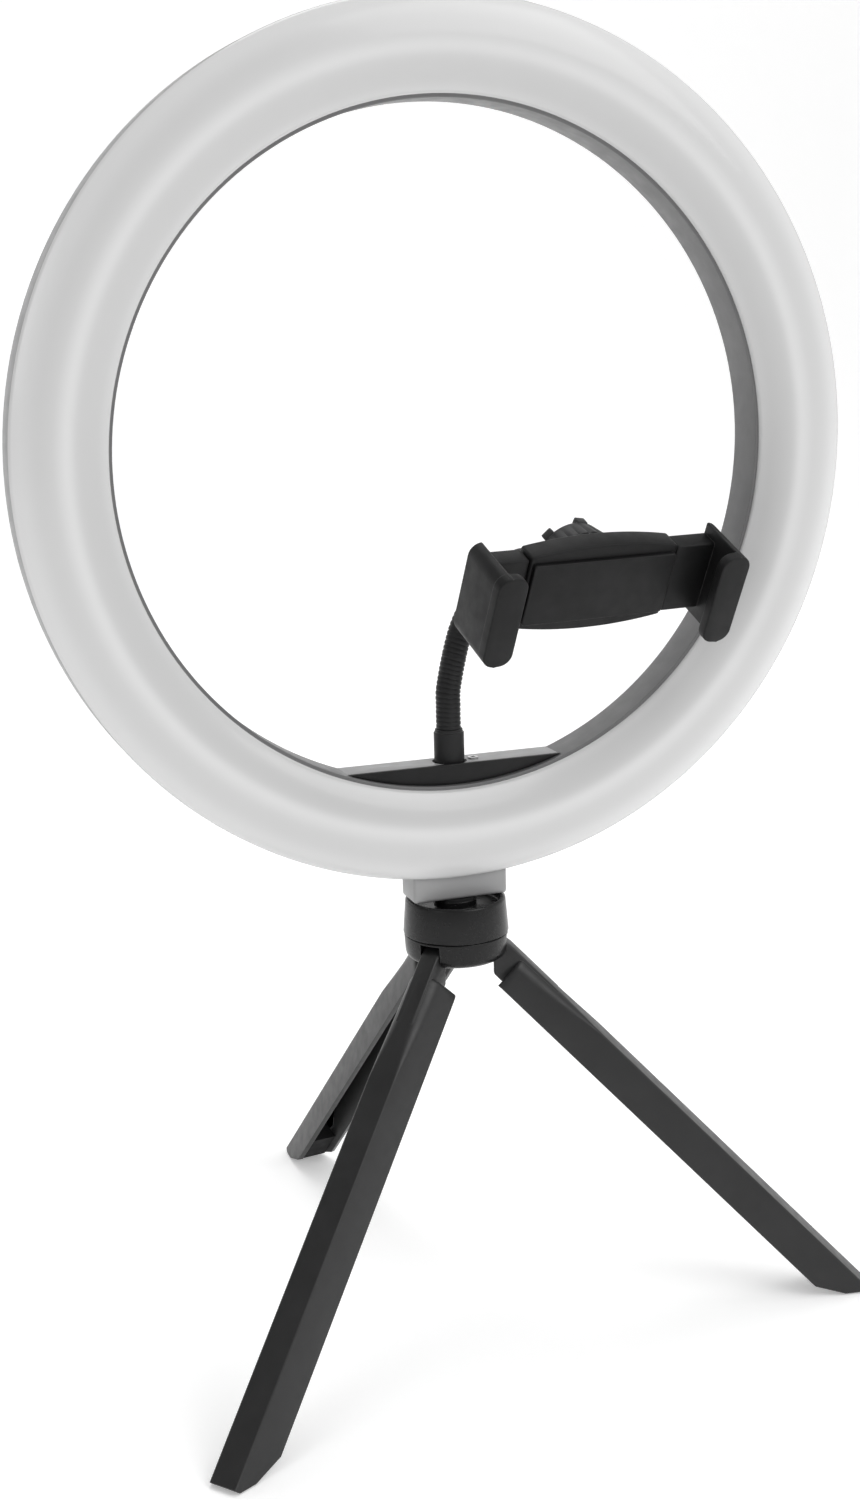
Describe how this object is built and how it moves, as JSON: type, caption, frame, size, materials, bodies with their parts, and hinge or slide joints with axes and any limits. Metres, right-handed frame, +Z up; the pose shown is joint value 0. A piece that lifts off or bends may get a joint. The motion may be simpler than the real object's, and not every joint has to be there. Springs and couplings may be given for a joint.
{
  "type": "tabletop ring light",
  "caption": "Tabletop ring light: annular diffused lamp on a folding tripod stand, with a bendable gooseneck and a spring phone clamp in the ring's opening.",
  "frame": {"origin": "on the floor under the stand's vertical axis", "axes": "+Z up along the stand's axis, the lamp faces -Y, +X to the right of someone facing -Y's opposite direction, that is looking along +Y at the lamp"},
  "size_m": [0.26, 0.216, 0.4033],
  "materials": {
    "shell": "fine matte silver-grey moulding",
    "diffuser": "satin translucent white",
    "board": "white solder mask",
    "diode": "yellow phosphor",
    "black_plastic": "fine satin moulding",
    "clamp_plastic": "fine matte moulding",
    "leg_plastic": "smooth satin moulding",
    "rubber": "matte",
    "hose": "satin black flexible tube",
    "steel": "plated steel",
    "dark_steel": "blackened steel",
    "brass": "turned"
  },
  "bodies": {
    "stand": {"hub_cap": "black_plastic", "hub_stud": "steel", "friction_pad": "rubber", "leg_collar": "black_plastic", "collar_screw": "dark_steel", "leg_pins": "steel"},
    "leg_left": {"leg_left": "leg_plastic", "foot_left": "rubber"},
    "leg_right": {"leg_right": "leg_plastic", "foot_right": "rubber"},
    "leg_rear": {"leg_rear": "leg_plastic", "foot_rear": "rubber"},
    "lamp": {"rear_housing": "shell", "diffuser": "diffuser", "led_board": "board", "leds": "diode", "housing_screws": "dark_steel", "cable_gland": "rubber", "chord_cover": "black_plastic", "mount_insert": "brass", "root_sleeve": "dark_steel", "root_screw": "steel", "hose_base": "hose"},
    "neck_lower": {"hose_lower": "hose"},
    "neck_upper": {"hose_upper": "hose"},
    "neck_tip": {"hose_tip": "hose", "tip_ferrule": "dark_steel", "ball_stud": "steel"},
    "nut": {"collar_nut": "clamp_plastic"},
    "clamp": {"clamp_back": "clamp_plastic", "clamp_body": "clamp_plastic", "clamp_panel": "clamp_plastic", "clamp_springs": "steel"},
    "jaw_left": {"jaw_left": "clamp_plastic"},
    "jaw_right": {"jaw_right": "clamp_plastic"}
  },
  "joints": [
    {"name": "leg_left_fold", "type": "hinge", "parent": "stand", "child": "leg_left", "pos_m": [-0.00894, -0.00724, 0.1196], "axis": [0.6293, -0.7771, 0], "range_deg": [0, 42]},
    {"name": "leg_right_fold", "type": "hinge", "parent": "stand", "child": "leg_right", "pos_m": [0.01074, -0.00412, 0.1196], "axis": [0.3584, 0.9336, 0], "range_deg": [0, 42]},
    {"name": "leg_rear_fold", "type": "hinge", "parent": "stand", "child": "leg_rear", "pos_m": [-0.0018, 0.01136, 0.1196], "axis": [-0.9877, -0.1564, 0], "range_deg": [0, 42]},
    {"name": "lamp_pan", "type": "hinge", "parent": "stand", "child": "lamp", "pos_m": [0, 0, 0.1358], "axis": [0, 0, 1], "range_deg": [-90, 90]},
    {"name": "neck_bend_1", "type": "hinge", "parent": "lamp", "child": "neck_lower", "pos_m": [0.0006, 0.0026, 0.203], "axis": [1, 0, 0], "range_deg": [-3, 12]},
    {"name": "neck_bend_2", "type": "hinge", "parent": "neck_lower", "child": "neck_upper", "pos_m": [0.0055, 0.0038, 0.2195], "axis": [1, 0, 0], "range_deg": [-3, 12]},
    {"name": "neck_bend_3", "type": "hinge", "parent": "neck_upper", "child": "neck_tip", "pos_m": [0.0145, 0.0072, 0.2315], "axis": [1, 0, 0], "range_deg": [-3, 12]},
    {"name": "clamp_tilt", "type": "hinge", "parent": "neck_tip", "child": "nut", "pos_m": [0.03504, -0.01483, 0.24065], "axis": [0.9925, 0.1219, 0], "range_deg": [-45, 8]},
    {"name": "clamp_roll", "type": "hinge", "parent": "nut", "child": "clamp", "pos_m": [0.03504, -0.01483, 0.24065], "axis": [0.1095, -0.8921, -0.4384], "range_deg": [-90, 90]},
    {"name": "jaw_left_slide", "type": "slide", "parent": "clamp", "child": "jaw_left", "axis": [-0.9925, -0.1219, 0], "range_m": [0, 0.014], "stiffness_N_per_m": 120, "springref_m": -0.02},
    {"name": "jaw_right_slide", "type": "slide", "parent": "clamp", "child": "jaw_right", "axis": [0.9925, 0.1219, 0], "range_m": [0, 0.014], "stiffness_N_per_m": 120, "springref_m": -0.02}
  ]
}
